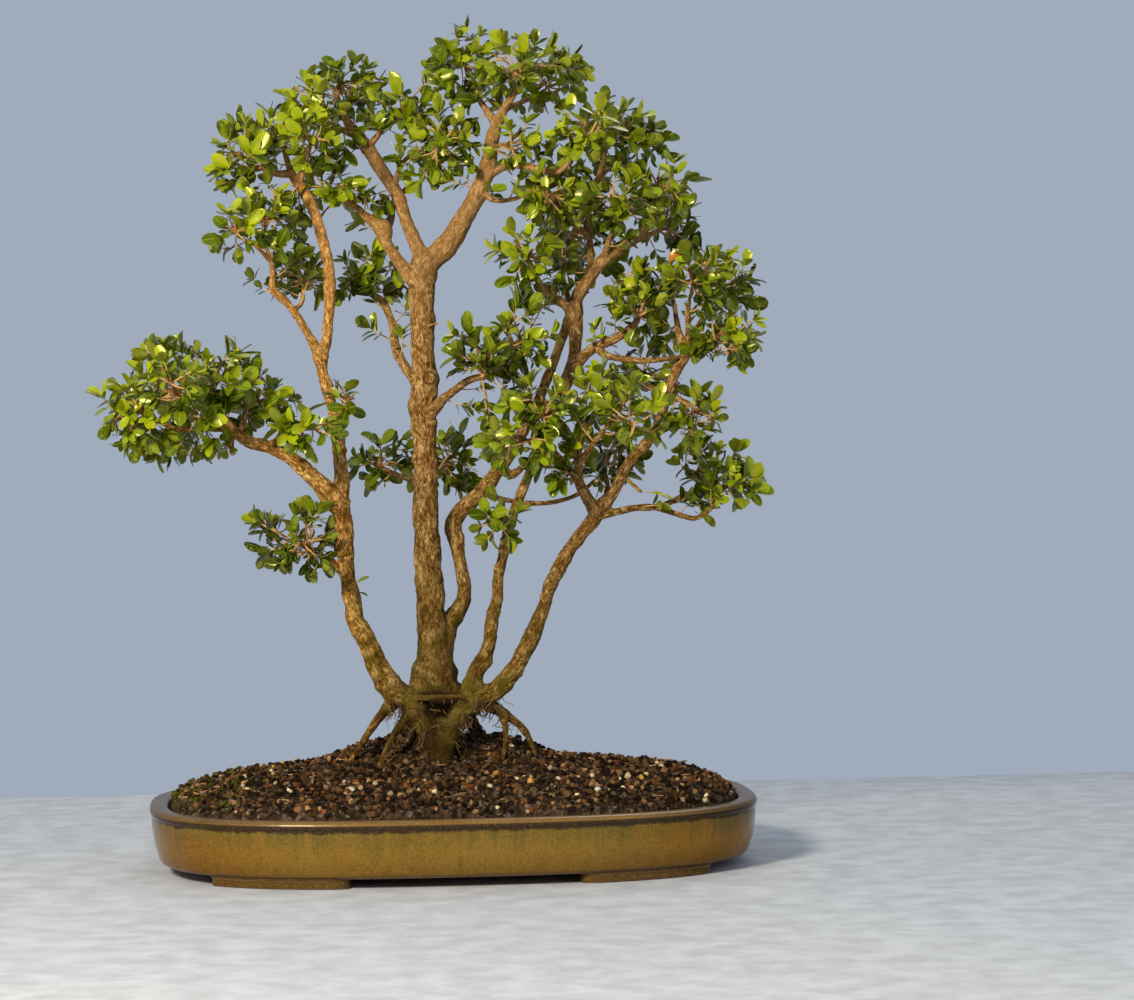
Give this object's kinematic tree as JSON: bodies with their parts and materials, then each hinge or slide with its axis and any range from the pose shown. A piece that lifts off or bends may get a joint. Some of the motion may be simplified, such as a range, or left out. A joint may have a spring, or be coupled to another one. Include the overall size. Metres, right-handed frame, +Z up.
{
  "type": "potted bonsai tree",
  "caption": "Small-leaved box tree with several stems on one root base, open leafy twigs in sprays, planted in gritty soil in a low oval glazed tray on low feet.",
  "frame": {"origin": "on the surface that the tray stands on, under the middle of the outer box", "axes": "+Z up, +X along the tray to the right and -Y towards the front, as seen from the side the tree is shown from"},
  "size_m": [0.5976, 0.392, 0.7553],
  "materials": {
    "pot": "glossy olive-brown glaze, brown where it thins at the lip",
    "soil": "loose grit of mixed browns with a little moss",
    "wood": "tan fibrous bark with green moss low down",
    "foliage": "smooth glossy leaves, yellow-green to dark green",
    "drain_screen": "moulded plastic mesh",
    "drain_wire": "drawn wire"
  },
  "bodies": {
    "root": {"pot": "pot", "soil": "soil", "drain_screen_left": "drain_screen", "drain_screen_right": "drain_screen", "drain_wire_left": "drain_wire", "drain_wire_right": "drain_wire", "wood": "wood", "foliage_left_arm_a": "foliage", "foliage_left_arm_c": "foliage", "foliage_left_arm_d": "foliage", "foliage_left_arm_e": "foliage", "foliage_left_arm_f": "foliage", "foliage_left_low": "foliage", "foliage_left_inner_a": "foliage", "foliage_left_inner_b": "foliage", "foliage_left_inner_c": "foliage", "foliage_left_crown_a": "foliage", "foliage_left_crown_b": "foliage", "foliage_left_outer_b": "foliage", "foliage_left_outer_c": "foliage", "foliage_mid_left": "foliage", "foliage_left_crown_c": "foliage", "foliage_left_crown_e": "foliage", "foliage_right_crown_a": "foliage", "foliage_right_crown_b": "foliage", "foliage_right_crown_c": "foliage", "foliage_crown_sprig": "foliage", "foliage_right_crown_d": "foliage", "foliage_near_right_b": "foliage", "foliage_near_right_f": "foliage", "foliage_right_crown_e": "foliage", "foliage_near_right_a": "foliage", "foliage_near_right_c": "foliage", "foliage_near_right_d": "foliage", "foliage_near_right_e": "foliage", "foliage_near_left": "foliage", "foliage_right_upper_a": "foliage", "foliage_right_upper_c": "foliage", "foliage_right_upper_d": "foliage", "foliage_near_branch": "foliage", "foliage_right_upper_i": "foliage", "foliage_mid_right": "foliage", "foliage_mid_right_b": "foliage", "foliage_right_front": "foliage", "foliage_right_front_a": "foliage", "foliage_right_front_b": "foliage", "foliage_right_front_c": "foliage", "foliage_right_upper_f": "foliage", "foliage_right_low": "foliage", "foliage_right_low_a": "foliage", "foliage_behind_left": "foliage", "foliage_behind_right": "foliage", "foliage_right_back": "foliage", "foliage_near_sprig": "foliage", "foliage_left_sprig": "foliage", "foliage_right_stem": "foliage", "foliage_middle_stem": "foliage", "foliage_left_arm": "foliage", "foliage_inner_left": "foliage", "foliage_left_outer": "foliage"}
  },
  "joints": []
}
